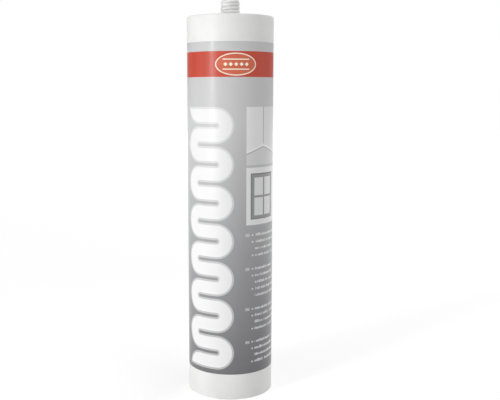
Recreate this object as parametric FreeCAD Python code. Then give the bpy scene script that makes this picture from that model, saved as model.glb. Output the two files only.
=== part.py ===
import FreeCAD, Part
import math
import os

from FreeCAD import Vector

# Sealant cartridge of about 310 ml that stands on its open base.
# A moulded barrel with a recessed head and a threaded spout holds the sealant,
# a printed film label lies flush in the barrel's wall, and a piston closes the base.
# Millimetres. +Z runs up the barrel's axis, the origin is the centre of the base,
# and the front of the label faces -Y.

# Barrel
barrel_diameter = 50.0
barrel_length = 219.6
barrel_wall = 1.5
edge_chamfer = 0.3
rim_rounding = 0.8

# Open base, a little wider than the bore so that the piston goes in easily
mouth_depth = 12.0
mouth_widening = 0.25
mouth_lead = 0.5

# Recessed head, a flat disc with a low conical neck round the spout
rim_width = 3.0
head_recess = 2.0
head_thickness = 1.8
head_chamfer = 0.6
neck_diameter = 18.0
neck_rise = 1.8

# Register lug on the inside of the rim
lug_thickness = 1.0
lug_reach = 3.4
lug_angle = 48.5

# Threaded spout
thread_diameter = 11.0
thread_depth = 0.75
thread_pitch = 1.95
ridge_width = 1.75
thread_runout = 0.8
thread_land = 0.1
thread_phase = -0.58
spout_height = 10.2
tip_diameter = 7.6
tip_taper = 1.4
spout_bore_diameter = 6.0
spout_rounding = 0.4
membrane_thickness = 0.8
tip_recess_diameter = 4.2
tip_recess_depth = 1.2

# Label
label_thickness = 0.1
label_margin_base = 15.1
label_margin_rim = 14.8
label_seam_gap = 0.4
label_seam_angle = 95.0

# Piston
piston_depth = 18.0
piston_height = 19.0
piston_wall = 1.4
crown_thickness = 2.4
lip_height = 1.6
lip_slope = 1.0
lip_relief = 0.6
wiper_width = 0.7
wiper_groove_width = 1.6
wiper_groove_depth = 1.4
gusset_count = 8
gusset_thickness = 1.0
gusset_reach = 3.6
gusset_height = 6.0

# Clearances
label_clearance = 0.02
piston_clearance = 0.05
sealant_clearance = 0.1
crown_clearance = 0.3

# Sizes that follow from the ones above
barrel_radius = barrel_diameter / 2
bore_radius = barrel_radius - barrel_wall
mouth_radius = bore_radius + mouth_widening
rim_radius = barrel_radius - rim_width
crest_radius = thread_diameter / 2
core_radius = crest_radius - thread_depth
spout_bore_radius = spout_bore_diameter / 2
tip_radius = tip_diameter / 2
tip_height = barrel_length + spout_height
membrane_height = tip_height - tip_recess_depth
label_recess = label_thickness + label_clearance
label_floor_radius = barrel_radius - label_recess
label_bottom = label_margin_base
label_top = barrel_length - label_margin_rim
head_height = barrel_length - head_recess
head_underside = head_height - head_thickness
neck_radius = neck_diameter / 2
neck_height = head_height + neck_rise
neck_inner_radius = spout_bore_radius + neck_radius - core_radius
neck_inner_height = head_underside + neck_rise
lip_radius = bore_radius - piston_clearance
crown_height = piston_depth + piston_height
cup_floor_height = crown_height - crown_thickness
cup_radius = lip_radius - lip_relief - piston_wall


def taper_height(radius):
    """Height at which the spout's tapered tip has a radius."""
    share = (crest_radius - radius) / (crest_radius - tip_radius)
    return tip_height - tip_taper + share * tip_taper


def plain(radius, height):
    """Sharp corner of an outline."""
    return Vector(radius, 0, height), 0, False


def rounded(radius, height, size):
    """Corner with a rounding of that radius."""
    return Vector(radius, 0, height), size, True


def chamfered(radius, height, size):
    """Corner cut off flat, that far along each of its two sides."""
    return Vector(radius, 0, height), size, False


def outline_face(corners):
    """Closed face in the XZ plane through the corners."""
    starts = []
    middles = []
    ends = []
    for index, (corner, size, is_round) in enumerate(corners):
        back = (corners[index - 1][0] - corner).normalize()
        ahead = (corners[(index + 1) % len(corners)][0] - corner).normalize()
        half_angle = back.getAngle(ahead) / 2
        setback = size / math.tan(half_angle) if is_round else size
        starts.append(corner + back * setback)
        ends.append(corner + ahead * setback)
        if is_round:
            bisector = (back + ahead).normalize()
            middles.append(corner + bisector * (size / math.sin(half_angle) - size))
        else:
            middles.append(None)
    edges = []
    for index, (corner, size, is_round) in enumerate(corners):
        if is_round:
            edges.append(Part.Arc(starts[index], middles[index], ends[index]).toShape())
        elif size > 0:
            edges.append(Part.LineSegment(starts[index], ends[index]).toShape())
        following = starts[(index + 1) % len(starts)]
        edges.append(Part.LineSegment(ends[index], following).toShape())
    return Part.Face(Part.Wire(edges))


def turned(corners):
    """Solid of revolution about the barrel's axis."""
    return outline_face(corners).revolve(Vector(0, 0, 0), Vector(0, 0, 1), 360)


def faced(shape, angle):
    """Turns a shape that lies towards +X to an angle counted from the front, -Y, to +X."""
    return shape.rotated(Vector(0, 0, 0), Vector(0, 0, 1), angle - 90)


def barrel_shell():
    """Wall, recessed head, closed spout without its thread, and open base."""
    tip_recess_radius = tip_recess_diameter / 2
    membrane_underside = membrane_height - membrane_thickness
    return turned([
        chamfered(mouth_radius, 0, edge_chamfer),
        chamfered(barrel_radius, 0, edge_chamfer),
        plain(barrel_radius, label_bottom),
        plain(label_floor_radius, label_bottom),
        plain(label_floor_radius, label_top),
        plain(barrel_radius, label_top),
        rounded(barrel_radius, barrel_length, rim_rounding),
        chamfered(rim_radius, barrel_length, edge_chamfer),
        plain(rim_radius, head_height),
        plain(neck_radius, head_height),
        rounded(core_radius, neck_height, spout_rounding),
        plain(core_radius, taper_height(core_radius)),
        chamfered(tip_radius, tip_height, edge_chamfer),
        plain(tip_recess_radius, tip_height),
        plain(tip_recess_radius, membrane_height),
        plain(0, membrane_height),
        plain(0, membrane_underside),
        plain(spout_bore_radius, membrane_underside),
        plain(spout_bore_radius, neck_inner_height),
        plain(neck_inner_radius, head_underside),
        chamfered(bore_radius, head_underside, head_chamfer),
        plain(bore_radius, mouth_depth),
        plain(mouth_radius, mouth_depth - mouth_lead),
    ])


def spout_thread():
    """Right-hand ridge with a round crest that fades out at both ends of the spout."""
    root_radius = core_radius - thread_depth / 2
    half_width = ridge_width / 2
    start_height = barrel_length + thread_phase - thread_pitch
    helix_height = tip_height - start_height
    helix = Part.makeHelix(thread_pitch, helix_height, crest_radius)
    crest = Part.Arc(
        Vector(root_radius, 0, -half_width),
        Vector(crest_radius, 0, 0),
        Vector(root_radius, 0, half_width),
    ).toShape()
    root = Part.LineSegment(
        Vector(root_radius, 0, half_width),
        Vector(root_radius, 0, -half_width),
    ).toShape()
    ridge = Part.Wire(helix).makePipeShell([Part.Wire([crest, root])], True, True)
    ridge.translate(Vector(0, 0, start_height))
    thread_top = taper_height(core_radius) - thread_land
    blank_radius = crest_radius + thread_depth
    blank_runout = thread_runout * (blank_radius - core_radius) / thread_depth
    blank_step = thread_runout * core_radius / thread_depth
    envelope = turned([
        plain(0, neck_height - blank_step),
        plain(blank_radius, neck_height + blank_runout),
        plain(blank_radius, thread_top - blank_runout),
        plain(0, thread_top + blank_step),
    ])
    return ridge.common(envelope)


def register_lug():
    """Small rib that stands on the head against the inside of the rim."""
    overlap = rim_width / 2
    outline = Part.makePolygon([
        Vector(rim_radius - lug_reach, 0, head_height - head_thickness / 2),
        Vector(rim_radius + overlap, 0, head_height - head_thickness / 2),
        Vector(rim_radius + overlap, 0, barrel_length - edge_chamfer),
        Vector(rim_radius - lug_reach, 0, barrel_length - edge_chamfer),
        Vector(rim_radius - lug_reach, 0, head_height - head_thickness / 2),
    ])
    rib = Part.Face(outline).extrude(Vector(0, lug_thickness, 0))
    rib.translate(Vector(0, -lug_thickness / 2, 0))
    return faced(rib, lug_angle)


def barrel():
    """One moulding: wall, head, threaded spout with its membrane, and register lug."""
    return barrel_shell().fuse([spout_thread(), register_lug()]).removeSplitter()


def label():
    """Film wrapped once round the barrel, with its two ends butted at a seam."""
    film = turned([
        plain(label_floor_radius + label_clearance, label_bottom + label_clearance),
        plain(barrel_radius, label_bottom + label_clearance),
        plain(barrel_radius, label_top - label_clearance),
        plain(label_floor_radius + label_clearance, label_top - label_clearance),
    ])
    seam = Part.makeBox(barrel_radius, label_seam_gap, barrel_length)
    seam.translate(Vector(barrel_radius / 2, -label_seam_gap / 2, 0))
    return film.cut(faced(seam, label_seam_angle))


def piston_cup():
    """Cup with a guide lip at its foot and a grooved wiper lip at its crown."""
    relief_radius = lip_radius - lip_relief
    groove_radius = lip_radius - wiper_width - wiper_groove_width / 2
    crown_radius = lip_radius - wiper_width - wiper_groove_width
    return turned([
        plain(cup_radius, piston_depth),
        plain(lip_radius, piston_depth),
        plain(lip_radius, piston_depth + lip_height),
        plain(relief_radius, piston_depth + lip_height + lip_slope),
        plain(relief_radius, crown_height - lip_height - lip_slope),
        plain(lip_radius, crown_height - lip_height),
        plain(lip_radius, crown_height),
        plain(lip_radius - wiper_width, crown_height),
        plain(groove_radius, crown_height - wiper_groove_depth),
        plain(crown_radius, crown_height),
        plain(0, crown_height),
        plain(0, cup_floor_height),
        plain(cup_radius, cup_floor_height),
    ])


def gusset(index):
    """One of the cup's stiffening ribs, between its wall and its floor."""
    overlap = piston_wall / 2
    outline = Part.makePolygon([
        Vector(cup_radius + overlap, 0, cup_floor_height - gusset_height),
        Vector(cup_radius + overlap, 0, cup_floor_height + crown_thickness / 2),
        Vector(cup_radius - gusset_reach, 0, cup_floor_height + crown_thickness / 2),
        Vector(cup_radius - gusset_reach, 0, cup_floor_height - crown_thickness / 2),
        Vector(cup_radius, 0, cup_floor_height - gusset_height),
        Vector(cup_radius + overlap, 0, cup_floor_height - gusset_height),
    ])
    rib = Part.Face(outline).extrude(Vector(0, gusset_thickness, 0))
    rib.translate(Vector(0, -gusset_thickness / 2, 0))
    return faced(rib, (index + 0.5) * 360 / gusset_count)


def piston():
    """One moulding: the cup and its gussets."""
    gussets = [gusset(index) for index in range(gusset_count)]
    return piston_cup().fuse(gussets).removeSplitter()


def sealant():
    """The filling, from the piston's crown to the membrane in the spout."""
    outer_radius = bore_radius - sealant_clearance
    plug_radius = spout_bore_radius - sealant_clearance
    plug_top = membrane_height - membrane_thickness - sealant_clearance
    return turned([
        plain(0, crown_height + crown_clearance),
        plain(outer_radius, crown_height + crown_clearance),
        chamfered(outer_radius, head_underside - sealant_clearance, head_chamfer),
        plain(neck_inner_radius, head_underside - sealant_clearance),
        plain(plug_radius, neck_inner_height - sealant_clearance),
        plain(plug_radius, plug_top),
        plain(0, plug_top),
    ])


parts = {
    "barrel": barrel(),
    "label": label(),
    "piston": piston(),
    "sealant": sealant(),
}

os.makedirs("parts", exist_ok=True)
for name, shape in parts.items():
    shape.exportStep(os.path.join("parts", name + ".step"))
    print(name, "valid", shape.isValid(), "solids", len(shape.Solids), "volume", round(shape.Volume, 1))

travel = head_underside - head_chamfer + piston_clearance - crown_height
print("piston travel until its lip meets the chamfer", round(travel, 3))
print("cup floor", round(cup_floor_height, 3), "cup radius", round(cup_radius, 3))
print("head", round(head_height, 3), "inside", round(head_underside, 3), "neck", round(neck_height, 3))
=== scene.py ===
import math

import bmesh
import bpy
from bpy.props import FloatProperty, FloatVectorProperty, IntProperty, PointerProperty
from mathutils import Matrix, Vector


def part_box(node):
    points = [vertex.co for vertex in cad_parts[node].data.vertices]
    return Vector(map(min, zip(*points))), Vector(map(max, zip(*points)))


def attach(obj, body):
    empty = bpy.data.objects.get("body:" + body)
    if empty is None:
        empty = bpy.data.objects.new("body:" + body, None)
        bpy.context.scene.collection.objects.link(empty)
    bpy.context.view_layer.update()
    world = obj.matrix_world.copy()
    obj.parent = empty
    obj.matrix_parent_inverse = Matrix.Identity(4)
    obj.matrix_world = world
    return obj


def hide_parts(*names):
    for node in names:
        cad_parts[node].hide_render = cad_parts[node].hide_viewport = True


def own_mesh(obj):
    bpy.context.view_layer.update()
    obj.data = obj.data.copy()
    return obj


bl_info = {
    "name": "Sealant Cartridge",
    "version": (1, 0, 0),
    "blender": (4, 5, 0),
    "location": "View3D > Sidebar > Cartridge",
    "description": "Models and finishes a standing sealant cartridge round its packed solids",
    "category": "Object",
}

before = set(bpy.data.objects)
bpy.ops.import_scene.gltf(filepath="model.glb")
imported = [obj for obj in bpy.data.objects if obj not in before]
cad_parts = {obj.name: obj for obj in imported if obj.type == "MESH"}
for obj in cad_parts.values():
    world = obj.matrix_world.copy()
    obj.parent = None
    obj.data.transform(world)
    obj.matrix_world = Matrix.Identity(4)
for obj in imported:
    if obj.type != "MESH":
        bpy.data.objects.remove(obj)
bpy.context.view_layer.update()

_, BARREL_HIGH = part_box("barrel")
LABEL_LOW, LABEL_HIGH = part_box("label")
PISTON_LOW, PISTON_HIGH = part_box("piston")
SEALANT_LOW, SEALANT_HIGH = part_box("sealant")

MM = 0.001
FULL_TURN = 2 * math.pi
TOLERANCE = 0.001 * MM
SHARP_ANGLE = math.radians(32)
CLOUD_SHADE = 0.93


def length(name, default, description):
    """Property for a size in metres."""
    return FloatProperty(
        name=name,
        description=description,
        default=default,
        precision=5,
        unit="LENGTH",
        subtype="DISTANCE",
    )


def colour(name, default, description):
    """Property for a colour in scene-linear values."""
    return FloatVectorProperty(
        name=name,
        description=description,
        default=default,
        min=0.0,
        max=1.0,
        size=3,
        subtype="COLOR",
    )


def angle(name, degrees, description):
    """Property for an angle, whose default is given in degrees."""
    return FloatProperty(
        name=name,
        description=description,
        default=math.radians(degrees),
        unit="ROTATION",
        subtype="ANGLE",
    )


def count(name, default, description):
    """Property for a number of copies or segments."""
    return IntProperty(name=name, description=description, default=default, min=1)


class BarrelSettings(bpy.types.PropertyGroup):
    """Sizes and colour of the barrel moulding."""

    barrel_length: length("Barrel length", 219.6 * MM, "Height of the rim over the base")
    wall: length("Wall", 1.5 * MM, "Thickness of the barrel's wall")
    edge: length("Edge", 0.3 * MM, "Rounding of the small edges")
    rim_rounding: length("Rim rounding", 0.8 * MM, "Rounding of the rim's outer edge")
    rim_width: length("Rim width", 3.0 * MM, "Width of the rim round the head")
    recess: length("Head recess", 2.0 * MM, "Depth of the head below the rim")
    head_thickness: length("Head thickness", 1.8 * MM, "Thickness of the head's disc")
    neck_radius: length("Neck radius", 9.0 * MM, "Radius of the cone at the spout's foot")
    neck_rise: length("Neck rise", 1.8 * MM, "Height of the cone at the spout's foot")
    mouth_depth: length("Mouth depth", 12.0 * MM, "Depth of the wider bore at the base")
    mouth_widening: length("Mouth widening", 0.25 * MM, "Extra radius of the bore at the base")
    lug_reach: length("Lug reach", 3.4 * MM, "Length of the register lug inside the rim")
    lug_thickness: length("Lug thickness", 1.0 * MM, "Thickness of the register lug")
    lug_angle: angle("Lug angle", 48.5, "Direction of the register lug, from the front towards the right")
    segments: count("Segments", 192, "Flat sides that make the round of the barrel")
    plastic: colour("Plastic", (0.80, 0.80, 0.788), "Colour of the white polyethylene")


class SpoutSettings(bpy.types.PropertyGroup):
    """Sizes of the threaded spout."""

    crest_radius: length("Crest radius", 5.5 * MM, "Radius over the thread's crests")
    depth: length("Thread depth", 0.75 * MM, "Depth of the thread")
    pitch: length("Pitch", 1.95 * MM, "Rise of the thread in one turn")
    ridge_width: length("Ridge width", 1.75 * MM, "Width of the ridge where it meets the core")
    runout: length("Run-out", 0.8 * MM, "Height in which the ridge fades out at each end")
    land: length("Land", 0.1 * MM, "Plain stretch over the thread")
    phase: length("Phase", -0.58 * MM, "Height over the rim where a crest crosses the right side")
    height: length("Height", 10.2 * MM, "Height of the spout over the rim")
    tip_radius: length("Tip radius", 3.8 * MM, "Radius of the spout's end face")
    taper: length("Taper", 1.4 * MM, "Height of the spout's tapered end")
    bore_radius: length("Bore radius", 3.0 * MM, "Radius of the bore inside the spout")
    membrane: length("Membrane", 0.8 * MM, "Thickness of the membrane that closes the spout")
    recess_radius: length("Tip recess radius", 2.1 * MM, "Radius of the recess in the end face")
    recess_depth: length("Tip recess depth", 1.2 * MM, "Depth of the recess in the end face")
    ring_step: length("Ring step", 0.1 * MM, "Height between the rings of points that carry the thread")


class LabelSettings(bpy.types.PropertyGroup):
    """Sizes of the film, and the colours and places of its printed fields."""

    thickness: length("Film thickness", 0.1 * MM, "Thickness of the film")
    bedding: length("Bedding", 0.02 * MM, "Space between the film and the barrel under it")
    seam_angle: angle("Seam angle", 95.0, "Direction of the film's seam, from the front towards the right")
    seam_gap: length("Seam gap", 0.4 * MM, "Width of the gap at the film's seam")
    band_low: length("Band foot", 185.4 * MM, "Lower edge of the red band")
    band_high: length("Band top", 199.4 * MM, "Upper edge of the red band")
    grey_high: colour("Grey at the top", (0.55, 0.55, 0.555), "Ground colour in the upper quarter")
    grey_middle: colour("Grey in the middle", (0.32, 0.32, 0.33), "Ground colour half-way down")
    grey_low: colour("Grey at the foot", (0.15, 0.15, 0.157), "Ground colour at the foot of the label")
    gradient_high: length("Gradient top", 160.0 * MM, "Height where the ground colour stops changing")
    gradient_middle: length("Gradient middle", 86.0 * MM, "Height of the middle ground colour")
    red: colour("Red", (0.52, 0.050, 0.020), "Colour of the band")
    orange: colour("Orange", (0.60, 0.12, 0.055), "Colour inside the oval badge")
    cream: colour("Cream", (0.93, 0.86, 0.72), "Colour of the badge's lines and diamonds")
    white: colour("White ink", (0.81, 0.81, 0.81), "Colour of the winding bead and the back panels")
    ink: colour("Dark ink", (0.10, 0.10, 0.11), "Colour of the small print on the back")


class PistonSettings(bpy.types.PropertyGroup):
    """Sizes and colour of the piston."""

    wall: length("Wall", 1.4 * MM, "Thickness of the cup's wall")
    crown: length("Crown", 2.4 * MM, "Thickness of the crown")
    lip_height: length("Lip height", 1.6 * MM, "Height of each lip's round wall")
    lip_slope: length("Lip slope", 1.0 * MM, "Height of the slope behind each lip")
    relief: length("Relief", 0.6 * MM, "How far the wall between the lips stands back")
    wiper_width: length("Wiper width", 0.7 * MM, "Width of the wiper lip's edge")
    groove_width: length("Groove width", 1.6 * MM, "Width of the groove behind the wiper lip")
    groove_depth: length("Groove depth", 1.4 * MM, "Depth of the groove behind the wiper lip")
    edge: length("Edge", 0.3 * MM, "Rounding of the cup's edges")
    gussets: count("Gussets", 8, "Ribs inside the cup")
    gusset_thickness: length("Gusset thickness", 1.0 * MM, "Thickness of a rib")
    gusset_reach: length("Gusset reach", 3.6 * MM, "Length of a rib along the cup's floor")
    gusset_height: length("Gusset height", 6.0 * MM, "Length of a rib down the cup's wall")
    segments: count("Segments", 128, "Flat sides that make the round of the piston")
    plastic: colour("Plastic", (0.66, 0.68, 0.66), "Colour of the natural polyethylene")


class SealantSettings(bpy.types.PropertyGroup):
    """Sizes and colour of the filling."""

    clearance: length("Clearance", 0.1 * MM, "Space between the filling and the moulding")
    corner: length("Corner", 1.0 * MM, "Rounding of the filling's upper corner")
    segments: count("Segments", 96, "Flat sides that make the round of the filling")
    paste: colour("Paste", (0.78, 0.78, 0.75), "Colour of the sealant")


class StageSettings(bpy.types.PropertyGroup):
    """Camera, floor and lights."""

    camera_distance: length("Camera distance", 454.3 * MM, "Distance from the barrel's axis")
    camera_height: length("Camera height", 177.3 * MM, "Height of the lens over the floor")
    camera_pitch: angle("Camera pitch", 7.964, "How far the camera looks down")
    lens: FloatProperty(
        name="Lens",
        description="Focal length in millimetres for a sensor 36 mm wide",
        default=55.69,
        unit="CAMERA",
    )
    axis_column: FloatProperty(
        name="Axis column",
        description="Image column of the barrel's axis",
        default=230.3,
        subtype="PIXEL",
    )
    image_width: FloatProperty(
        name="Image width",
        description="Width of the image",
        default=500.0,
        subtype="PIXEL",
    )
    floor_size: length("Floor size", 6.0, "Side of the square floor")
    shadow_reach: length("Shadow reach", 0.3, "Distance within which the floor shows the shadow")


def new_mesh_object(name, mesh, body, node, material):
    """Turns a finished bmesh into an object that rides on a body and stands for a solid."""
    bmesh.ops.remove_doubles(mesh, verts=mesh.verts, dist=TOLERANCE / 10)
    bmesh.ops.recalc_face_normals(mesh, faces=mesh.faces)
    data = bpy.data.meshes.new(name)
    mesh.to_mesh(data)
    mesh.free()
    data.shade_smooth()
    data.set_sharp_from_angle(angle=SHARP_ANGLE)
    data.materials.append(material)
    piece = bpy.data.objects.new(name, data)
    bpy.context.scene.collection.objects.link(piece)
    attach(piece, body)
    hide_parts(node)
    return piece


def turn(mesh, corners, segments, start=0.0, sweep=FULL_TURN):
    """Spins an outline of (radius, height) corners about the barrel's axis, where it may be open."""
    verts = []
    for radius, height in corners:
        verts.append(mesh.verts.new((radius * math.cos(start), radius * math.sin(start), height)))
    edges = []
    for index, (radius, height) in enumerate(corners):
        if radius > 0 or corners[index - 1][0] > 0:
            edges.append(mesh.edges.new((verts[index - 1], verts[index])))
    full = sweep >= FULL_TURN
    bmesh.ops.spin(
        mesh,
        geom=verts + edges,
        cent=(0, 0, 0),
        axis=(0, 0, 1),
        angle=sweep,
        steps=segments,
        use_merge=full,
    )
    if not full:
        open_edges = [edge for edge in mesh.edges if edge.is_boundary]
        bmesh.ops.holes_fill(mesh, edges=open_edges, sides=0)


def round_ring(mesh, radius, height, width, steps):
    """Rounds the ring of edges at a radius and a height."""

    def on_ring(vert):
        aside = abs(math.hypot(vert.co.x, vert.co.y) - radius)
        return aside < TOLERANCE and abs(vert.co.z - height) < TOLERANCE

    ring = [edge for edge in mesh.edges if on_ring(edge.verts[0]) and on_ring(edge.verts[1])]
    bmesh.ops.bevel(
        mesh,
        geom=ring,
        offset=width,
        offset_type="OFFSET",
        segments=steps,
        profile=0.5,
        affect="EDGES",
        material=-1,
    )


def add_turned(mesh, part, direction):
    """Turns a small bmesh about the barrel's axis and adds it to a larger one."""
    matrix = Matrix.Rotation(angle_from_front(direction), 3, "Z")
    bmesh.ops.rotate(part, cent=(0, 0, 0), matrix=matrix, verts=part.verts)
    data = bpy.data.meshes.new("part")
    part.to_mesh(data)
    part.free()
    mesh.from_mesh(data)
    bpy.data.meshes.remove(data)


def softened_block(size, place, edge):
    """Box with softened edges, moved to a place."""
    block = bmesh.new()
    bmesh.ops.create_cube(block, size=1.0)
    bmesh.ops.scale(block, vec=size, verts=block.verts)
    bmesh.ops.bevel(
        block,
        geom=block.edges,
        offset=edge,
        segments=2,
        profile=0.5,
        affect="EDGES",
        material=-1,
    )
    bmesh.ops.translate(block, vec=place, verts=block.verts)
    return block


def angle_from_front(direction):
    """Angle about +Z, counted from +X, of a direction counted from the front towards the right."""
    return direction - math.pi / 2


def combine(tree, operation, *values):
    """Socket with the result of a sum or comparison of sockets and plain numbers."""
    node = tree.nodes.new("ShaderNodeMath")
    node.operation = operation
    for socket, value in zip(node.inputs, values):
        if isinstance(value, bpy.types.NodeSocket):
            tree.links.new(value, socket)
        else:
            socket.default_value = value
    return node.outputs[0]


def remap(tree, value, low, high, bottom, top):
    """Socket that runs from bottom to top while another runs from low to high."""
    node = tree.nodes.new("ShaderNodeMapRange")
    tree.links.new(value, node.inputs["Value"])
    node.inputs["From Min"].default_value = low
    node.inputs["From Max"].default_value = high
    node.inputs["To Min"].default_value = bottom
    node.inputs["To Max"].default_value = top
    return node.outputs["Result"]


def seen_directly(tree, path):
    """Socket that is 1 for camera, glossy and transmission rays."""
    first = combine(tree, "MAXIMUM", path.outputs["Is Camera Ray"], path.outputs["Is Glossy Ray"])
    return combine(tree, "MAXIMUM", first, path.outputs["Is Transmission Ray"])


class Nodes:
    """Builds one material's node tree on its Principled shader."""

    def __init__(self, name, specular):
        self.material = bpy.data.materials.new(name)
        self.material.use_nodes = True
        self.tree = self.material.node_tree
        self.shader = self.tree.nodes["Principled BSDF"]
        self.shader.inputs["Specular IOR Level"].default_value = specular
        self.position = self.add("ShaderNodeTexCoord").outputs["Object"]

    def add(self, kind, **settings):
        """New node with its settings."""
        node = self.tree.nodes.new(kind)
        for key, value in settings.items():
            setattr(node, key, value)
        return node

    def feed(self, socket, value):
        """Links a socket, or writes a plain value, into an input."""
        if isinstance(value, bpy.types.NodeSocket):
            self.tree.links.new(value, socket)
        elif socket.type == "RGBA":
            socket.default_value = (*value, 1.0)
        else:
            socket.default_value = value

    def math(self, operation, *values):
        """Result of a sum or comparison."""
        return combine(self.tree, operation, *values)

    def between(self, value, low, high):
        """Mask that is 1 where the value lies between two limits."""
        above = self.math("GREATER_THAN", value, low)
        below = self.math("LESS_THAN", value, high)
        return self.math("MULTIPLY", above, below)

    def wrap(self, value, limit):
        """Value brought between a limit and its negative by whole steps of their distance."""
        return self.math("WRAP", value, limit, -limit)

    def hypotenuse(self, first, second):
        """Length of the long side over two lengths at right angles."""
        first_square = self.math("MULTIPLY", first, first)
        second_square = self.math("MULTIPLY", second, second)
        return self.math("SQRT", self.math("ADD", first_square, second_square))

    def both(self, *masks):
        """Mask where all the masks hold."""
        result = masks[0]
        for mask in masks[1:]:
            result = self.math("MULTIPLY", result, mask)
        return result

    def either(self, *masks):
        """Mask where any of the masks holds."""
        result = masks[0]
        for mask in masks[1:]:
            result = self.math("MAXIMUM", result, mask)
        return result

    def without(self, mask, hole):
        """Mask less another mask."""
        return self.math("MULTIPLY", mask, self.math("SUBTRACT", 1.0, hole))

    def box(self, along, up, left, right, low, high):
        """Mask of an upright rectangle."""
        return self.both(self.between(along, left, right), self.between(up, low, high))

    def oval(self, along, up, centre, half):
        """Mask of an upright ellipse."""
        across = self.math("DIVIDE", self.math("SUBTRACT", along, centre[0]), half[0])
        rise = self.math("DIVIDE", self.math("SUBTRACT", up, centre[1]), half[1])
        return self.math("LESS_THAN", self.hypotenuse(across, rise), 1.0)

    def paint(self, under, over, mask):
        """Colour that changes from one to the other where the mask holds."""
        node = self.add("ShaderNodeMix", data_type="RGBA")
        self.feed(node.inputs["Factor"], mask)
        self.feed(node.inputs[6], under)
        self.feed(node.inputs[7], over)
        return node.outputs[2]

    def ramp(self, value, low, high, bottom, top):
        """Value that runs from bottom to top while another runs from low to high."""
        return remap(self.tree, value, low, high, bottom, top)

    def noise(self, scale, detail=2.0):
        """Soft noise over the object, with its scale in features per metre."""
        node = self.add("ShaderNodeTexNoise")
        self.feed(node.inputs["Vector"], self.position)
        node.inputs["Scale"].default_value = scale
        node.inputs["Detail"].default_value = detail
        return node.outputs["Fac"]

    def uneven(self, scale, middle, spread):
        """Value that wanders round a middle, by about a spread to each side."""
        drift = self.math("MULTIPLY", self.math("SUBTRACT", self.noise(scale), 0.5), 4.0 * spread)
        return self.math("ADD", drift, middle)

    def random(self, value, seed):
        """Random number from 0 to 1 for each whole value and seed."""
        node = self.add("ShaderNodeTexWhiteNoise", noise_dimensions="2D")
        pair = self.add("ShaderNodeCombineXYZ")
        self.feed(pair.inputs["X"], value)
        self.feed(pair.inputs["Y"], seed)
        self.feed(node.inputs["Vector"], pair.outputs["Vector"])
        return node.outputs["Value"]

    def bump(self, height, distance, strength):
        """Relief from a height between 0 and 1."""
        node = self.add("ShaderNodeBump")
        node.inputs["Distance"].default_value = distance
        node.inputs["Strength"].default_value = strength
        self.feed(node.inputs["Height"], height)
        self.feed(self.shader.inputs["Normal"], node.outputs["Normal"])

    def finish(self, base, roughness):
        """Feeds the colour and the roughness, and gives the material."""
        self.feed(self.shader.inputs["Base Color"], base)
        self.feed(self.shader.inputs["Roughness"], roughness)
        return self.material


def moulded_plastic(name, base, roughness):
    """Satin polyethylene: faint cloudiness, a fine grain and a little light under the skin."""
    nodes = Nodes(name, 0.45)
    cloud = nodes.noise(45.0, 3.0)
    shade = [channel * CLOUD_SHADE for channel in base]
    nodes.shader.inputs["Subsurface Weight"].default_value = 0.12
    nodes.shader.inputs["Subsurface Scale"].default_value = 0.0015
    nodes.shader.inputs["Subsurface Radius"].default_value = (1.0, 0.9, 0.8)
    nodes.bump(nodes.noise(2600.0), 0.02 * MM, 0.35)
    return nodes.finish(
        nodes.paint(shade, base, nodes.ramp(cloud, 0.3, 0.6, 0.0, 1.0)),
        nodes.uneven(160.0, roughness, 0.03),
    )


def wet_paste(base):
    """Smooth wet sealant with a soft skin."""
    nodes = Nodes("sealant_paste", 0.5)
    nodes.shader.inputs["Subsurface Weight"].default_value = 0.2
    nodes.shader.inputs["Subsurface Scale"].default_value = 0.002
    nodes.bump(nodes.noise(220.0, 3.0), 0.2 * MM, 0.5)
    return nodes.finish(base, nodes.uneven(90.0, 0.34, 0.02))


def printed_film(settings):
    """Semi-gloss film with its print, laid out in millimetres round the barrel and up it."""
    nodes = Nodes("printed_film", 0.5)
    split = nodes.add("ShaderNodeSeparateXYZ")
    nodes.feed(split.inputs[0], nodes.position)
    x, y, z = split.outputs
    radius = BARREL_HIGH.x / MM
    turned_x = nodes.math("MULTIPLY", x, -1.0)
    turned_y = nodes.math("MULTIPLY", y, -1.0)
    front = nodes.math("MULTIPLY", nodes.math("ARCTAN2", x, turned_y), radius)
    back = nodes.math("MULTIPLY", nodes.math("ARCTAN2", turned_x, y), radius)
    up = nodes.math("DIVIDE", z, MM)

    high = settings.gradient_high / MM
    middle = settings.gradient_middle / MM
    low = LABEL_LOW.z / MM
    upper = nodes.paint(settings.grey_middle, settings.grey_high, nodes.ramp(up, middle, high, 0.0, 1.0))
    paint = nodes.paint(settings.grey_low, upper, nodes.ramp(up, low, middle, 0.0, 1.0))
    paint = print_wave(nodes, paint, front, up, settings)
    paint = print_panels(nodes, paint, front, up, settings)
    paint = print_small_lines(nodes, paint, front, up, settings)
    paint = print_back(nodes, paint, back, up, settings)
    paint = print_band(nodes, paint, front, back, up, settings)

    nodes.bump(nodes.noise(110.0), 0.04 * MM, 0.5)
    return nodes.finish(paint, nodes.uneven(60.0, 0.287, 0.004))


# Places in the print are millimetres along the film from its front, or back, and up from the base
WAVE_LEFT, WAVE_RIGHT = -28.5, 1.0
WAVE_LOW, WAVE_HIGH = 18.9, 167.8
WAVE_ROWS = 14
WAVE_WIDTH = 7.2
WAVE_LINE = 1.1
WAVE_LINE_STRENGTH = 0.5


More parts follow.
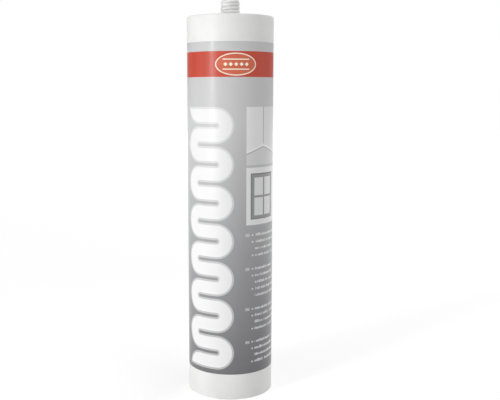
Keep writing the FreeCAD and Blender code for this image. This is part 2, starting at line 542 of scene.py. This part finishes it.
def print_wave(nodes, paint, along, up, settings):
    """Bold white bead that winds up the front, with a pale outline."""
    pitch = (WAVE_HIGH - WAVE_LOW - WAVE_WIDTH) / (WAVE_ROWS - 1)
    first = WAVE_LOW + WAVE_WIDTH / 2
    straight = (WAVE_RIGHT - WAVE_LEFT - pitch - WAVE_WIDTH) / 2
    offset = nodes.math("SUBTRACT", along, (WAVE_LEFT + WAVE_RIGHT) / 2)
    on_right = nodes.math("GREATER_THAN", offset, 0.0)
    from_middle = nodes.math("ABSOLUTE", offset)
    past_end = nodes.math("MAXIMUM", nodes.math("SUBTRACT", from_middle, straight), 0.0)
    turn_height = nodes.math("SUBTRACT", first + 1.5 * pitch, nodes.math("MULTIPLY", on_right, pitch))
    drop = nodes.wrap(nodes.math("SUBTRACT", up, turn_height), pitch)
    from_turn = nodes.math("SUBTRACT", nodes.hypotenuse(past_end, drop), pitch / 2)
    from_line = nodes.math("ABSOLUTE", from_turn)
    outer = nodes.both(
        nodes.math("LESS_THAN", from_line, WAVE_WIDTH / 2 + WAVE_LINE),
        nodes.between(up, WAVE_LOW - WAVE_LINE, WAVE_HIGH + WAVE_LINE),
    )
    inner = nodes.both(
        nodes.math("LESS_THAN", from_line, WAVE_WIDTH / 2),
        nodes.between(up, WAVE_LOW, WAVE_HIGH),
    )
    paint = nodes.paint(paint, nodes.paint(paint, settings.white, WAVE_LINE_STRENGTH), outer)
    return nodes.paint(paint, settings.white, inner)


PANEL_LEFT, PANEL_RIGHT = 9.2, 41.0
UPPER_PANEL_LOW, UPPER_PANEL_HIGH = 136.5, 169.0
LOWER_PANEL_LOW, LOWER_PANEL_HIGH = 102.4, 135.1
WALL_GREY = (0.76, 0.76, 0.76)
FAR_WALL_GREY = (0.72, 0.72, 0.725)
BOARDS_GREY = (0.63, 0.63, 0.635)
GAP_GREY = (0.50, 0.50, 0.505)
WINDOW_GREY = (0.28, 0.28, 0.285)
LINE_GREY = (0.15, 0.15, 0.155)
CORNER_PLACE = 21.0
CORNER_LINE = 0.32
BOARDS_HIGH = 147.6
BOARDS_SLOPE = 0.34
JOINT_LOW, JOINT_HIGH = -0.7, 0.8
JOINT_SHADOW = 0.3
WINDOW_LEFT, WINDOW_RIGHT = 12.6, 30.6
WINDOW_LOW, WINDOW_HIGH = 106.0, 131.2
WINDOW_SHADOW = 0.6
WINDOW_LIP = 0.4
WINDOW_FRAME = 1.8
WINDOW_BAR = 1.2


def print_room(nodes, along, up, settings):
    """Colours of a plain room's corner, with a pale joint between the walls and the boards."""
    from_corner = nodes.math("SUBTRACT", along, CORNER_PLACE)
    aside = nodes.math("ABSOLUTE", from_corner)
    boards_edge = nodes.math("MULTIPLY_ADD", aside, -BOARDS_SLOPE, BOARDS_HIGH)
    rise = nodes.math("SUBTRACT", up, boards_edge)
    room = nodes.paint(WALL_GREY, FAR_WALL_GREY, nodes.math("GREATER_THAN", from_corner, 0.0))
    room = nodes.paint(room, LINE_GREY, nodes.math("LESS_THAN", aside, CORNER_LINE / 2))
    room = nodes.paint(room, BOARDS_GREY, nodes.math("LESS_THAN", rise, 0.0))
    room = nodes.paint(room, LINE_GREY, nodes.between(rise, JOINT_LOW - JOINT_SHADOW, JOINT_LOW))
    return nodes.paint(room, settings.white, nodes.between(rise, JOINT_LOW, JOINT_HIGH))


def print_window(nodes, along, up):
    """Colours of a plain window with four panes in a pale wall."""
    edge = nodes.box(
        along,
        up,
        WINDOW_LEFT - WINDOW_SHADOW,
        WINDOW_RIGHT + WINDOW_LIP,
        WINDOW_LOW - WINDOW_LIP,
        WINDOW_HIGH + WINDOW_SHADOW,
    )
    face = nodes.box(along, up, WINDOW_LEFT, WINDOW_RIGHT, WINDOW_LOW, WINDOW_HIGH)
    glass = nodes.box(
        along,
        up,
        WINDOW_LEFT + WINDOW_FRAME,
        WINDOW_RIGHT - WINDOW_FRAME,
        WINDOW_LOW + WINDOW_FRAME,
        WINDOW_HIGH - WINDOW_FRAME,
    )
    from_upright = nodes.math("SUBTRACT", along, (WINDOW_LEFT + WINDOW_RIGHT) / 2)
    from_crossbar = nodes.math("SUBTRACT", up, (WINDOW_LOW + WINDOW_HIGH) / 2)
    bars = nodes.either(
        nodes.between(from_upright, -WINDOW_BAR / 2, WINDOW_BAR / 2),
        nodes.between(from_crossbar, -WINDOW_BAR / 2, WINDOW_BAR / 2),
    )
    view = nodes.paint(WALL_GREY, LINE_GREY, edge)
    view = nodes.paint(view, WINDOW_GREY, face)
    view = nodes.paint(view, FAR_WALL_GREY, glass)
    return nodes.paint(view, WINDOW_GREY, nodes.both(glass, bars))


def print_panels(nodes, paint, along, up, settings):
    """Two pale picture fields, one above the other."""
    upper = nodes.box(along, up, PANEL_LEFT, PANEL_RIGHT, UPPER_PANEL_LOW, UPPER_PANEL_HIGH)
    paint = nodes.paint(paint, print_room(nodes, along, up, settings), upper)
    lower = nodes.box(along, up, PANEL_LEFT, PANEL_RIGHT, LOWER_PANEL_LOW, LOWER_PANEL_HIGH)
    paint = nodes.paint(paint, print_window(nodes, along, up), lower)
    gap = nodes.box(along, up, PANEL_LEFT, PANEL_RIGHT, LOWER_PANEL_HIGH, UPPER_PANEL_LOW)
    return nodes.paint(paint, GAP_GREY, gap)


LETTER_WIDTH = 0.7
GAP_CHANCE, SOLID_CHANCE = 0.1, 0.16
TALL_LETTER_CHANCE = 0.72
TALL_LETTER_RISE = 0.4
FAINTEST_LETTER = 0.55
SHORTEST_ROW = 0.6
ROW_SEED_STEP = 7.31
SHADE_SEED_STEP = 3.7


def rows_of_words(nodes, along, up, top, pitch, left, right, ink, seed):
    """Row number, and mask of broken lines that stand for small print."""
    level = nodes.math("DIVIDE", nodes.math("SUBTRACT", top, up), pitch)
    row = nodes.math("FLOOR", level)
    within = nodes.math("SUBTRACT", level, row)
    seeded = nodes.math("ADD", nodes.math("MULTIPLY", row, ROW_SEED_STEP), seed)
    letter = nodes.math("FLOOR", nodes.math("DIVIDE", along, LETTER_WIDTH))
    chance = nodes.random(letter, seeded)
    is_tall = nodes.math("GREATER_THAN", chance, TALL_LETTER_CHANCE)
    tall = nodes.math("MULTIPLY", is_tall, ink * TALL_LETTER_RISE)
    line = nodes.both(
        nodes.math("GREATER_THAN", within, nodes.math("SUBTRACT", 0.5 - ink / 2, tall)),
        nodes.math("LESS_THAN", within, 0.5 + ink / 2),
    )
    end = nodes.math("MULTIPLY", nodes.random(row, seed), (right - left) * (1 - SHORTEST_ROW))
    reach = nodes.math("LESS_THAN", along, nodes.math("SUBTRACT", right, end))
    solid = nodes.ramp(chance, GAP_CHANCE, SOLID_CHANCE, 0.0, 1.0)
    shade = nodes.random(letter, nodes.math("ADD", seeded, SHADE_SEED_STEP))
    uneven = nodes.ramp(shade, 0.0, 1.0, FAINTEST_LETTER, 1.0)
    return row, nodes.both(line, reach, solid, uneven, nodes.math("GREATER_THAN", along, left))


def is_one_of(nodes, row, numbers):
    """Mask of the rows with these numbers."""
    masks = [nodes.between(row, number - 0.5, number + 0.5) for number in numbers]
    return nodes.either(*masks)


ROW_TOP = 98.6
ROW_PITCH = 3.93
ROW_COUNT = 20
ROW_INK = 0.3
ROW_LEFT, ROW_RIGHT = 14.9, 41.0
ROW_SEED = 3.0
ROW_STRENGTH = 0.78
BLANK_ROWS = (4, 10, 15)
MARKED_ROWS = (0, 1, 3, 5, 6, 8, 11, 12, 14, 16, 17, 19)
FIRST_ROWS = (0, 5, 11, 16)
BULLET_PLACE = (13.3, 0.0)
BULLET_HALF = (0.55, 0.55)
MARK_LEFT, MARK_RIGHT = 8.8, 11.4
MARK_HEIGHT = 1.7
MARK_STRENGTH = 0.55


def print_small_lines(nodes, paint, along, up, settings):
    """Twenty rows of broken pale lines in four groups, with bullets and group marks."""
    row, words = rows_of_words(
        nodes, along, up, ROW_TOP, ROW_PITCH, ROW_LEFT, ROW_RIGHT, ROW_INK, ROW_SEED
    )
    block = nodes.between(up, ROW_TOP - ROW_PITCH * ROW_COUNT, ROW_TOP)
    shown = nodes.without(block, is_one_of(nodes, row, BLANK_ROWS))
    level = nodes.math("DIVIDE", nodes.math("SUBTRACT", ROW_TOP, up), ROW_PITCH)
    from_middle = nodes.math("SUBTRACT", nodes.math("SUBTRACT", level, row), 0.5)
    drop = nodes.math("MULTIPLY", from_middle, ROW_PITCH)
    bullet = nodes.both(
        nodes.oval(along, drop, BULLET_PLACE, BULLET_HALF),
        is_one_of(nodes, row, MARKED_ROWS),
    )
    mark = nodes.both(
        nodes.box(along, drop, MARK_LEFT, MARK_RIGHT, -MARK_HEIGHT / 2, MARK_HEIGHT / 2),
        is_one_of(nodes, row, FIRST_ROWS),
    )
    faint_mark = nodes.math("MULTIPLY", mark, MARK_STRENGTH)
    mask = nodes.both(nodes.either(words, bullet, faint_mark), shown)
    return nodes.paint(paint, nodes.paint(paint, settings.white, ROW_STRENGTH), mask)


BACK_LEFT, BACK_RIGHT = -34.9, 38.4
BACK_LOW, BACK_MIDDLE, BACK_HIGH = 15.1, 56.5, 166.5
BACK_GREY = (0.45, 0.46, 0.47)
RING = 0.7
DIVIDER_LEFT, DIVIDER_RIGHT = 3.2, 3.7
DIVIDER_LOW, DIVIDER_HIGH = 59.5, 162.5
COLUMNS = ((-32.0, 1.5, 11.0), (5.5, 36.0, 17.0))
COLUMN_TOP, COLUMN_PITCH, COLUMN_INK = 162.0, 2.6, 0.42
COLUMN_ROWS = 39
SECTION_ROWS, SECTION_SHOWN = 9, 8
FOOT_LEFT, FOOT_RIGHT, FOOT_SEED = -30.0, 6.0, 23.0
FOOT_TOP, FOOT_PITCH, FOOT_INK = 50.0, 3.0, 0.45
FOOT_ROWS = 8
STRIPES_LEFT, STRIPES_RIGHT = 23.5, 36.5
STRIPES_LOW, STRIPES_HIGH = 23.0, 49.5
STRIPE = 0.55
STRIPE_SEED = 5.0


def print_back(nodes, paint, along, up, settings):
    """White panels with ring lines, columns of small print, and a plain pattern of stripes."""
    ground = nodes.box(along, up, BACK_LEFT, BACK_RIGHT, BACK_LOW, BACK_HIGH)
    paint = nodes.paint(paint, settings.white, ground)
    rings = nodes.either(
        nodes.between(up, BACK_LOW, BACK_LOW + RING),
        nodes.between(up, BACK_MIDDLE - RING, BACK_MIDDLE),
    )
    paint = nodes.paint(paint, BACK_GREY, nodes.both(ground, rings))
    divider = nodes.box(along, up, DIVIDER_LEFT, DIVIDER_RIGHT, DIVIDER_LOW, DIVIDER_HIGH)
    paint = nodes.paint(paint, BACK_GREY, divider)
    for left, right, seed in COLUMNS:
        row, words = rows_of_words(
            nodes, along, up, COLUMN_TOP, COLUMN_PITCH, left, right, COLUMN_INK, seed
        )
        block = nodes.both(
            nodes.between(row, -0.5, COLUMN_ROWS - 0.5),
            nodes.math("LESS_THAN", nodes.math("MODULO", row, SECTION_ROWS), SECTION_SHOWN - 0.5),
        )
        paint = nodes.paint(paint, settings.ink, nodes.both(words, block))
    row, words = rows_of_words(
        nodes, along, up, FOOT_TOP, FOOT_PITCH, FOOT_LEFT, FOOT_RIGHT, FOOT_INK, FOOT_SEED
    )
    foot = nodes.between(row, -0.5, FOOT_ROWS - 0.5)
    paint = nodes.paint(paint, settings.ink, nodes.both(words, foot))
    step = nodes.math("FLOOR", nodes.math("DIVIDE", up, STRIPE))
    dark = nodes.math("GREATER_THAN", nodes.random(step, STRIPE_SEED), 0.5)
    stripes = nodes.box(along, up, STRIPES_LEFT, STRIPES_RIGHT, STRIPES_LOW, STRIPES_HIGH)
    return nodes.paint(paint, settings.ink, nodes.both(stripes, dark))


BADGE_CENTRE = (3.27, 192.3)
BADGE_HALF = (11.8, 6.2)
BADGE_LINE = 0.6
DIAMOND_HALF = 1.15
DIAMOND_PITCH = 3.0
DIAMOND_ROW = 7.5
RULE_DISTANCE = 2.7
RULE_WIDTH = 0.6


def print_band(nodes, paint, front, back, up, settings):
    """Red band right round, with an oval on the front and the back that holds a row of diamonds."""
    band = nodes.between(up, settings.band_low / MM, settings.band_high / MM)
    paint = nodes.paint(paint, settings.red, band)
    inner_half = (BADGE_HALF[0] - BADGE_LINE, BADGE_HALF[1] - BADGE_LINE)
    for along in (front, back):
        outer = nodes.oval(along, up, BADGE_CENTRE, BADGE_HALF)
        inner = nodes.oval(along, up, BADGE_CENTRE, inner_half)
        paint = nodes.paint(paint, settings.cream, outer)
        paint = nodes.paint(paint, settings.orange, inner)
        offset = nodes.math("SUBTRACT", along, BADGE_CENTRE[0])
        drop = nodes.math("ABSOLUTE", nodes.math("SUBTRACT", up, BADGE_CENTRE[1]))
        cell = nodes.math("ABSOLUTE", nodes.wrap(offset, DIAMOND_PITCH / 2))
        diamonds = nodes.math("LESS_THAN", nodes.math("ADD", cell, drop), DIAMOND_HALF)
        rules = nodes.between(drop, RULE_DISTANCE - RULE_WIDTH / 2, RULE_DISTANCE + RULE_WIDTH / 2)
        row = nodes.between(offset, -DIAMOND_ROW, DIAMOND_ROW)
        paint = nodes.paint(paint, settings.cream, nodes.both(nodes.either(diamonds, rules), row))
    return paint


class CARTRIDGE_OT_barrel(bpy.types.Operator):
    """Models the barrel with its recessed head, threaded spout and register lug"""

    bl_idname = "cartridge.barrel"
    bl_label = "Barrel"

    def execute(self, context):
        settings = context.scene.cartridge_barrel
        spout = context.scene.cartridge_spout
        label = context.scene.cartridge_label
        radius = BARREL_HIGH.x
        bore = radius - settings.wall
        mouth = bore + settings.mouth_widening
        groove = radius - label.thickness - label.bedding
        rim = radius - settings.rim_width
        top = settings.barrel_length
        head = top - settings.recess
        under = head - settings.head_thickness
        neck = head + settings.neck_rise
        core = spout.crest_radius - spout.depth
        tip = top + spout.height
        share = spout.depth / (spout.crest_radius - spout.tip_radius)
        taper_foot = tip - spout.taper * (1 - share)
        membrane = tip - spout.recess_depth
        inner_neck = spout.bore_radius + settings.neck_radius - core
        rings = round((taper_foot - neck) / spout.ring_step)
        stem = [(core, neck + (taper_foot - neck) * step / rings) for step in range(rings + 1)]
        corners = [
            (mouth, 0.0),
            (radius, 0.0),
            (radius, LABEL_LOW.z),
            (groove, LABEL_LOW.z),
            (groove, LABEL_HIGH.z),
            (radius, LABEL_HIGH.z),
            (radius, top),
            (rim, top),
            (rim, head),
            (settings.neck_radius, head),
            *stem,
            (spout.tip_radius, tip),
            (spout.recess_radius, tip),
            (spout.recess_radius, membrane),
            (0.0, membrane),
            (0.0, membrane - spout.membrane),
            (spout.bore_radius, membrane - spout.membrane),
            (spout.bore_radius, under + settings.neck_rise),
            (inner_neck, under),
            (bore, under),
            (bore, settings.mouth_depth),
            (mouth, settings.mouth_depth - 2 * settings.mouth_widening),
        ]
        mesh = bmesh.new()
        turn(mesh, corners, settings.segments)
        self.cut_thread(mesh, settings, spout, core, neck, taper_foot)
        round_ring(mesh, radius, top, settings.rim_rounding, 6)
        round_ring(mesh, rim, top, settings.edge, 3)
        round_ring(mesh, rim, head, settings.edge, 3)
        round_ring(mesh, bore, under, 2 * settings.edge, 3)
        round_ring(mesh, settings.neck_radius, head, settings.edge, 3)
        round_ring(mesh, spout.tip_radius, tip, settings.edge, 3)
        round_ring(mesh, spout.recess_radius, tip, settings.edge / 2, 2)
        round_ring(mesh, radius, 0.0, settings.edge, 3)
        round_ring(mesh, mouth, 0.0, settings.edge, 3)
        overlap = settings.rim_width / 2
        lug_low = head - settings.head_thickness / 2
        lug_high = top - settings.edge
        lug = softened_block(
            (settings.lug_reach + overlap, settings.lug_thickness, lug_high - lug_low),
            (rim + (overlap - settings.lug_reach) / 2, 0.0, (lug_low + lug_high) / 2),
            settings.edge / 2,
        )
        add_turned(mesh, lug, settings.lug_angle)
        material = moulded_plastic("barrel_plastic", settings.plastic, 0.38)
        new_mesh_object("barrel_moulding", mesh, "cartridge", "barrel", material)
        return {"FINISHED"}

    def cut_thread(self, mesh, settings, spout, core, neck, taper_foot):
        """Moves the spout's rings of points out to the round-crested ridge."""
        root = core - spout.depth / 2
        rise = spout.crest_radius - root
        ball = ((spout.ridge_width / 2) ** 2 + rise**2) / (2 * rise)
        start = settings.barrel_length + spout.phase
        thread_top = taper_foot - spout.land
        for vert in mesh.verts:
            radius = math.hypot(vert.co.x, vert.co.y)
            height = vert.co.z
            on_stem = neck - TOLERANCE < height < taper_foot + TOLERANCE
            if abs(radius - core) > TOLERANCE or not on_stem:
                continue
            turns = math.atan2(vert.co.y, vert.co.x) / FULL_TURN
            offset = (height - start) / spout.pitch - turns
            from_crest = (offset - round(offset)) * spout.pitch
            ridge = spout.crest_radius - ball + math.sqrt(max(ball**2 - from_crest**2, 0.0))
            foot = core + (height - neck) * spout.depth / spout.runout
            end = core + (thread_top - height) * spout.depth / spout.runout
            target = max(core, min(ridge, foot, end))
            vert.co.x *= target / radius
            vert.co.y *= target / radius


class CARTRIDGE_OT_label(bpy.types.Operator):
    """Wraps the printed film round the barrel"""

    bl_idname = "cartridge.label"
    bl_label = "Label"

    def execute(self, context):
        settings = context.scene.cartridge_label
        outer = LABEL_HIGH.x
        inner = outer - settings.thickness
        corners = [
            (inner, LABEL_LOW.z),
            (outer, LABEL_LOW.z),
            (outer, LABEL_HIGH.z),
            (inner, LABEL_HIGH.z),
        ]
        gap = settings.seam_gap / outer
        start = angle_from_front(settings.seam_angle) + gap / 2
        mesh = bmesh.new()
        turn(mesh, corners, context.scene.cartridge_barrel.segments, start, FULL_TURN - gap)
        new_mesh_object("label_film", mesh, "cartridge", "label", printed_film(settings))
        return {"FINISHED"}


class CARTRIDGE_OT_piston(bpy.types.Operator):
    """Models the piston's cup with its lips and gussets"""

    bl_idname = "cartridge.piston"
    bl_label = "Piston"

    def execute(self, context):
        settings = context.scene.cartridge_piston
        lip = PISTON_HIGH.x
        low = PISTON_LOW.z
        high = PISTON_HIGH.z
        relief = lip - settings.relief
        cup = relief - settings.wall
        floor = high - settings.crown
        groove = lip - settings.wiper_width - settings.groove_width / 2
        crown = lip - settings.wiper_width - settings.groove_width
        corners = [
            (cup, low),
            (lip, low),
            (lip, low + settings.lip_height),
            (relief, low + settings.lip_height + settings.lip_slope),
            (relief, high - settings.lip_height - settings.lip_slope),
            (lip, high - settings.lip_height),
            (lip, high),
            (lip - settings.wiper_width, high),
            (groove, high - settings.groove_depth),
            (crown, high),
            (0.0, high),
            (0.0, floor),
            (cup, floor),
        ]
        mesh = bmesh.new()
        turn(mesh, corners, settings.segments)
        for radius, height in ((cup, low), (cup, floor), (lip, low)):
            round_ring(mesh, radius, height, settings.edge, 3)
        for index in range(settings.gussets):
            rib = self.gusset(settings, cup, floor)
            add_turned(mesh, rib, (index + 0.5) * FULL_TURN / settings.gussets)
        material = moulded_plastic("piston_plastic", settings.plastic, 0.42)
        new_mesh_object("piston_cup", mesh, "piston", "piston", material)
        return {"FINISHED"}

    def gusset(self, settings, cup, floor):
        """One three-cornered rib between the cup's wall and its floor."""
        overlap = settings.wall / 2
        side = [
            (cup + overlap, floor - settings.gusset_height),
            (cup + overlap, floor + settings.crown / 2),
            (cup - settings.gusset_reach, floor + settings.crown / 2),
            (cup - settings.gusset_reach, floor - settings.crown / 2),
            (cup, floor - settings.gusset_height),
        ]
        rib = bmesh.new()
        face = rib.faces.new([rib.verts.new((r, -settings.gusset_thickness / 2, z)) for r, z in side])
        grown = bmesh.ops.extrude_face_region(rib, geom=[face])
        moved = [item for item in grown["geom"] if isinstance(item, bmesh.types.BMVert)]
        bmesh.ops.translate(rib, vec=(0, settings.gusset_thickness, 0), verts=moved)
        return rib


class CARTRIDGE_OT_sealant(bpy.types.Operator):
    """Models the filling between the piston and the head, as it lies before the piston rises"""

    bl_idname = "cartridge.sealant"
    bl_label = "Sealant"

    def execute(self, context):
        settings = context.scene.cartridge_sealant
        barrel = context.scene.cartridge_barrel
        spout = context.scene.cartridge_spout
        core = spout.crest_radius - spout.depth
        under = barrel.barrel_length - barrel.recess - barrel.head_thickness - settings.clearance
        plug = spout.bore_radius - settings.clearance
        inner_neck = spout.bore_radius + barrel.neck_radius - core
        corners = [
            (0.0, SEALANT_LOW.z),
            (SEALANT_HIGH.x, SEALANT_LOW.z),
            (SEALANT_HIGH.x, under),
            (inner_neck, under),
            (plug, under + barrel.neck_rise),
            (plug, SEALANT_HIGH.z),
            (0.0, SEALANT_HIGH.z),
        ]
        mesh = bmesh.new()
        turn(mesh, corners, settings.segments)
        round_ring(mesh, SEALANT_HIGH.x, under, settings.corner, 3)
        material = wet_paste(settings.paste)
        piece = new_mesh_object("sealant_fill", mesh, "cartridge", "sealant", material)
        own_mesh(piece)
        return {"FINISHED"}


FLOOR_GREY = (0.75, 0.75, 0.75, 1.0)
WHITE = (1.0, 1.0, 1.0, 1.0)
FLOOR_LIFT = 0.38
WORLD_LIGHT = 0.43
# The flags lie between two values of the direction backwards, and only reflections see them
FLAG_FRONT, FLAG_BACK = 0.2, 0.93
FLAG_DEPTH = 0.65
SENSOR_WIDTH = 36.0


class CARTRIDGE_OT_stage(bpy.types.Operator):
    """Sets the floor, the lights, the background and the camera"""

    bl_idname = "cartridge.stage"
    bl_label = "Stage"

    def execute(self, context):
        settings = context.scene.cartridge_stage
        self.set_floor(context, settings)
        self.set_world(context)
        self.add_softbox(context, "key_light", -48.0, 1.3, 0.24, (0.24, 1.6), 8.3)
        self.add_softbox(context, "low_light", -62.0, 0.6, 0.05, (0.5, 0.3), 1.8, glossy=False)
        self.add_softbox(context, "front_light", -15.0, 1.5, 0.3, (0.7, 1.6), 1.5)
        self.add_softbox(context, "top_light", 60.0, 0.8, 1.3, (1.0, 1.0), 3.2)
        self.add_softbox(context, "overhead_light", 60.0, 0.3, 1.6, (1.2, 1.2), 4.0)
        self.add_softbox(context, "back_light", 127.0, 1.4, 0.4, (0.8, 1.6), 7.5, glossy=False)
        self.set_camera(context, settings)
        context.scene.view_settings.view_transform = "Standard"
        return {"FINISHED"}

    def set_floor(self, context, settings):
        """Pale floor that is white to the camera and keeps the cartridge's shadow."""
        edge = settings.floor_size / 2
        mesh = bmesh.new()
        bmesh.ops.create_grid(mesh, x_segments=1, y_segments=1, size=edge)
        data = bpy.data.meshes.new("floor")
        mesh.to_mesh(data)
        mesh.free()
        floor = bpy.data.objects.new("floor", data)
        context.scene.collection.objects.link(floor)
        material = bpy.data.materials.new("floor")
        material.use_nodes = True
        tree = material.node_tree
        place = tree.nodes.new("ShaderNodeTexCoord")
        distance = tree.nodes.new("ShaderNodeVectorMath")
        distance.operation = "LENGTH"
        tree.links.new(place.outputs["Object"], distance.inputs[0])
        level = remap(tree, distance.outputs["Value"], settings.shadow_reach, edge, FLOOR_LIFT, 1.0)
        path = tree.nodes.new("ShaderNodeLightPath")
        shader = tree.nodes["Principled BSDF"]
        shader.inputs["Base Color"].default_value = FLOOR_GREY
        shader.inputs["Roughness"].default_value = 1.0
        shader.inputs["Specular IOR Level"].default_value = 0.0
        shader.inputs["Emission Color"].default_value = WHITE
        lift = combine(tree, "MULTIPLY", level, seen_directly(tree, path))
        tree.links.new(lift, shader.inputs["Emission Strength"])
        data.materials.append(material)

    def set_world(self, context):
        """White background, a softer light on the cartridge, and a grey flag at each side behind it."""
        world = bpy.data.worlds.new("studio")
        context.scene.world = world
        world.use_nodes = True
        tree = world.node_tree
        background = tree.nodes["Background"]
        background.inputs["Color"].default_value = WHITE
        path = tree.nodes.new("ShaderNodeLightPath")
        level = remap(tree, seen_directly(tree, path), 0.0, 1.0, WORLD_LIGHT, 1.0)
        split = tree.nodes.new("ShaderNodeSeparateXYZ")
        tree.links.new(tree.nodes.new("ShaderNodeTexCoord").outputs["Generated"], split.inputs[0])
        behind = combine(tree, "GREATER_THAN", split.outputs["Y"], FLAG_FRONT)
        beside = combine(tree, "LESS_THAN", split.outputs["Y"], FLAG_BACK)
        flags = combine(tree, "MULTIPLY", behind, beside)
        flags = combine(tree, "MULTIPLY", flags, path.outputs["Is Glossy Ray"])
        strength = combine(tree, "MULTIPLY_ADD", flags, -FLAG_DEPTH, level)
        tree.links.new(strength, background.inputs["Strength"])

    def add_softbox(self, context, name, azimuth, distance, height, size, power, glossy=True):
        """Area lamp that faces the cartridge, placed by its angle from the front towards the right."""
        lamp = bpy.data.lights.new(name, "AREA")
        lamp.shape = "RECTANGLE"
        lamp.size, lamp.size_y = size
        lamp.energy = power
        direction = angle_from_front(math.radians(azimuth))
        place = Vector((distance * math.cos(direction), distance * math.sin(direction), height))
        target = Vector((0.0, 0.0, BARREL_HIGH.z / 2))
        holder = bpy.data.objects.new(name, lamp)
        holder.location = place
        holder.rotation_euler = (target - place).to_track_quat("-Z", "Y").to_euler()
        holder.visible_glossy = glossy
        context.scene.collection.objects.link(holder)

    def set_camera(self, context, settings):
        """Camera at the photograph's place and angle."""
        camera = bpy.data.cameras.new("camera")
        camera.sensor_width = SENSOR_WIDTH
        camera.lens = settings.lens
        camera.shift_x = 0.5 - settings.axis_column / settings.image_width
        holder = bpy.data.objects.new("camera", camera)
        holder.location = (0.0, -settings.camera_distance, settings.camera_height)
        holder.rotation_euler = (math.pi / 2 - settings.camera_pitch, 0.0, 0.0)
        context.scene.collection.objects.link(holder)
        context.scene.camera = holder


PIECES = (
    CARTRIDGE_OT_barrel,
    CARTRIDGE_OT_label,
    CARTRIDGE_OT_piston,
    CARTRIDGE_OT_sealant,
    CARTRIDGE_OT_stage,
)

SETTINGS = {
    "cartridge_barrel": BarrelSettings,
    "cartridge_spout": SpoutSettings,
    "cartridge_label": LabelSettings,
    "cartridge_piston": PistonSettings,
    "cartridge_sealant": SealantSettings,
    "cartridge_stage": StageSettings,
}


class CARTRIDGE_PT_pieces(bpy.types.Panel):
    """Lists the cartridge's pieces"""

    bl_label = "Cartridge"
    bl_idname = "CARTRIDGE_PT_pieces"
    bl_space_type = "VIEW_3D"
    bl_region_type = "UI"
    bl_category = "Cartridge"

    def draw(self, context):
        for piece in PIECES:
            self.layout.operator(piece.bl_idname)


def register():
    for group in SETTINGS.values():
        bpy.utils.register_class(group)
    for piece in PIECES:
        bpy.utils.register_class(piece)
    bpy.utils.register_class(CARTRIDGE_PT_pieces)
    for name, group in SETTINGS.items():
        setattr(bpy.types.Scene, name, PointerProperty(type=group))


def unregister():
    for name in SETTINGS:
        delattr(bpy.types.Scene, name)
    bpy.utils.unregister_class(CARTRIDGE_PT_pieces)
    for piece in reversed(PIECES):
        bpy.utils.unregister_class(piece)
    for group in reversed(SETTINGS.values()):
        bpy.utils.unregister_class(group)


def main():
    """Makes every piece and the stage."""
    register()
    bpy.ops.cartridge.barrel()
    bpy.ops.cartridge.label()
    bpy.ops.cartridge.piston()
    bpy.ops.cartridge.sealant()
    bpy.ops.cartridge.stage()


if __name__ == "__main__":
    main()
